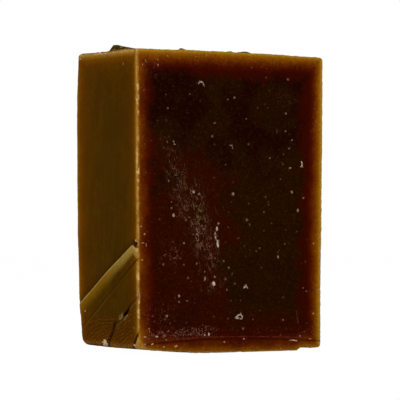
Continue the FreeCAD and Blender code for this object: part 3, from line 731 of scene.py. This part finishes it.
def add_bit(ring, place, turned, rolled, size, paleness):
    """One dried bit: a flat blob, or a ring, laid on the nearest skin and sunk to its middle."""
    if ring:
        bpy.ops.mesh.primitive_torus_add(
            major_segments=24, minor_segments=6, major_radius=1.0, minor_radius=0.2)
    else:
        bpy.ops.mesh.primitive_ico_sphere_add(subdivisions=3, radius=1.0)
    bit = bpy.context.object
    away = 1 if turned == 0 else 0
    place[away] = skin[np.argmin(((skin - place) ** 2).sum(1)), away]
    lean = (RING_LEAN if ring else BLOB_LEAN) * math.sin(place[0] * 7.0 + place[2] * 3.0)
    bit.rotation_euler = (math.radians(90) + lean, rolled + lean * 3.0, turned)
    bit.location = Vector(place) * MM
    proud = RING_PROUD if ring else BLOB_PROUD
    bit.scale = Vector((size[0] * GROWN, size[1] * GROWN, proud)) * MM
    out = [0 if ring else vertex.co.xy.length_squared for vertex in bit.data.vertices]
    tone = bit.data.attributes.new("paleness", "FLOAT", "POINT")
    tone.data.foreach_set("value", [(paleness + 0.08 - RIM_DIMMING * way) / PALEST for way in out])
    to_edge = min(place[0] + WIDTH / 2, WIDTH / 2 - place[0], place[2], HEIGHT - place[2])
    warm = min(max((WARM_REACH - to_edge) / 5.0, 0.0), MOST_WARM) if turned == 0 else SIDE_WARM
    warmth = bit.data.attributes.new("warmth", "FLOAT", "POINT")
    warmth.data.foreach_set("value", [warm] * len(out))
    bits.append(bit)


front_skin = -THICKNESS / 2 + FRONT_SET_BACK
for ring, measured in ((False, BUBBLE_PLUGS + FOOT_BITS), (True, BUBBLE_RINGS)):
    for x, z, wide, tall, paleness in measured:
        add_bit(ring, [x - WIDTH / 2, front_skin, z], 0.0, 0.0, (wide, tall), paleness)
for x, z, end_x, end_z, thick, paleness in STROKES:
    middle = [(x + end_x - WIDTH) / 2, front_skin, (z + end_z) / 2]
    reach = math.hypot(end_x - x, end_z - z) / 2 + thick
    add_bit(False, middle, 0.0, math.atan2(z - end_z, end_x - x), (reach, thick), paleness)
for y, z, wide, tall, paleness in SIDE_CRUMBS:
    add_bit(False, [left_side(z), y - THICKNESS / 2, z], math.radians(-90), 0.0, (wide, tall), paleness)
bpy.ops.object.select_all(action="DESELECT")
for bit in bits:
    bit.select_set(True)
bpy.context.view_layer.objects.active = bits[0]
bpy.ops.object.transform_apply(location=True, rotation=True, scale=True)
bpy.ops.object.join()
dried = bpy.context.view_layer.objects.active
dried.name = "dried_bits"
relief(dried, "crumbly", grain=0.5, height=0.3, level=0.5, fine=1)
move_vertices(dried, np.clip(vertex_places(dried), low, high))
bpy.ops.object.shade_smooth()

# Dried soap: dull and pale, from pinkish brown where it is thin to cream where it is thick.
pale_soap = bpy.data.materials.new("dried_pale_soap")
pale_soap.use_nodes = True
tree = pale_soap.node_tree
tree.nodes.clear()
here = add("TexCoord").outputs["Object"]
mm = add("VectorMath", {0: here, "Scale": 1 / MM}, operation="SCALE")
tone = add("Attribute", attribute_name="paleness").outputs["Fac"]
crumbly = cloud(0.5, 0.3, 0.7, -0.16, 0.1, place=mm)
patchy = add("Math", [tone, crumbly], operation="ADD", use_clamp=True)
ramp = add("ValToRGB", [patchy])
PALE_STOPS = {0.0: "#38190f", 0.27: "#5f443a", 0.47: "#806c5f", 0.67: "#9c8d7f", 1.0: "#cfc2ac"}
elements = ramp.color_ramp.elements
while len(elements) < len(PALE_STOPS):
    elements.new(0.5)
for element, (position, code) in zip(elements, PALE_STOPS.items()):
    element.position = position
    element.color = linear(code)
# the glow of the soap's edges makes the bits there orange
warmth = add("Attribute", attribute_name="warmth").outputs["Fac"]
warmed = add("Mix", {0: warmth, 6: ramp, 7: linear("#a9743c")}, data_type="RGBA")
body = add("BsdfPrincipled", {"Base Color": warmed, "Roughness": 0.6, "Specular IOR Level": 0.01})
add("OutputMaterial", {"Surface": body})
dried.data.materials.clear()
dried.data.materials.append(pale_soap)
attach(dried, "root")

# The studio: a plain white floor and surround, soft lamps above and to the left, and a long lens
# level with the middle of the bar, turned thirty degrees to its left.
CAMERA_TURN = 30.0
EYE_HEIGHT = 39.5
WAY_TO_NEAR_EDGE = 769.6
NEAR_EDGE_FROM_CENTRE = 16.8
LENS = 260.0
# the eye's level lies seven of the picture's 400 pixels below its middle
LENS_SHIFT = 7.0 / 400
FLOOR_WHITENESS = 0.99

bpy.ops.mesh.primitive_circle_add(vertices=96, radius=1.6, fill_type="NGON", location=(0, 0, 0))
floor = bpy.context.object
floor.name = "studio_floor"
white = bpy.data.materials.new("matt_white_floor")
white.use_nodes = True
tree = white.node_tree
tree.nodes.clear()


def seen_rays():
    """One for the rays of the camera, of reflections and of clear things."""
    rays = add("LightPath").outputs
    mirrored = add("Math", [rays["Is Glossy Ray"], rays["Is Transmission Ray"]], operation="MAXIMUM")
    return add("Math", [rays["Is Camera Ray"], mirrored], operation="MAXIMUM")


paint_coat = add("BsdfDiffuse", {"Color": linear("#f2f2f2")})
lit = add("Emission", {"Color": linear("#ffffff"), "Strength": 1.0})
whiteness = add("Math", [seen_rays(), FLOOR_WHITENESS], operation="MULTIPLY")
add("OutputMaterial", {"Surface": add("MixShader", [whiteness, paint_coat, lit])})
floor.data.materials.append(white)

world = bpy.data.worlds.new("white_surround")
bpy.context.scene.world = world
world.use_nodes = True
tree = world.node_tree
tree.nodes.clear()
soft = add("Background", {"Color": linear("#ffffff"), "Strength": 0.42})
plain = add("Background", {"Color": linear("#ffffff"), "Strength": 1.0})
add("OutputWorld", {"Surface": add("MixShader", [seen_rays(), soft, plain])})


def lamp(name, place, power, width):
    """A soft square lamp that faces the middle of the bar."""
    aim = Vector((0, 0, HEIGHT / 2 * MM))
    bpy.ops.object.light_add(type="AREA", location=place)
    light = bpy.context.object
    light.name = name
    light.data.energy = power
    light.data.size = width
    light.rotation_euler = (aim - Vector(place)).to_track_quat("-Z", "Y").to_euler()


lamp("window_left", (-0.75, -0.35, 0.65), 6.0, 0.5)
lamp("fill_front", (0.25, -0.9, 0.45), 5.0, 0.6)
lamp("top_back", (0.1, 0.45, 0.9), 4.0, 0.5)

turned = math.radians(CAMERA_TURN)
ahead = Vector((math.sin(turned), math.cos(turned), 0))
aside = Vector((math.cos(turned), -math.sin(turned), 0))
near_edge = Vector((-WIDTH / 2, -THICKNESS / 2, EYE_HEIGHT)) * MM
eye = near_edge + aside * NEAR_EDGE_FROM_CENTRE * MM - ahead * WAY_TO_NEAR_EDGE * MM
bpy.ops.object.camera_add(location=eye, rotation=(math.radians(90), 0, -turned))
camera = bpy.context.object
camera.data.lens = LENS
camera.data.sensor_width = 36.0
camera.data.shift_y = LENS_SHIFT
camera.data.clip_end = 20.0
bpy.context.scene.camera = camera
bpy.context.scene.view_settings.view_transform = "Standard"
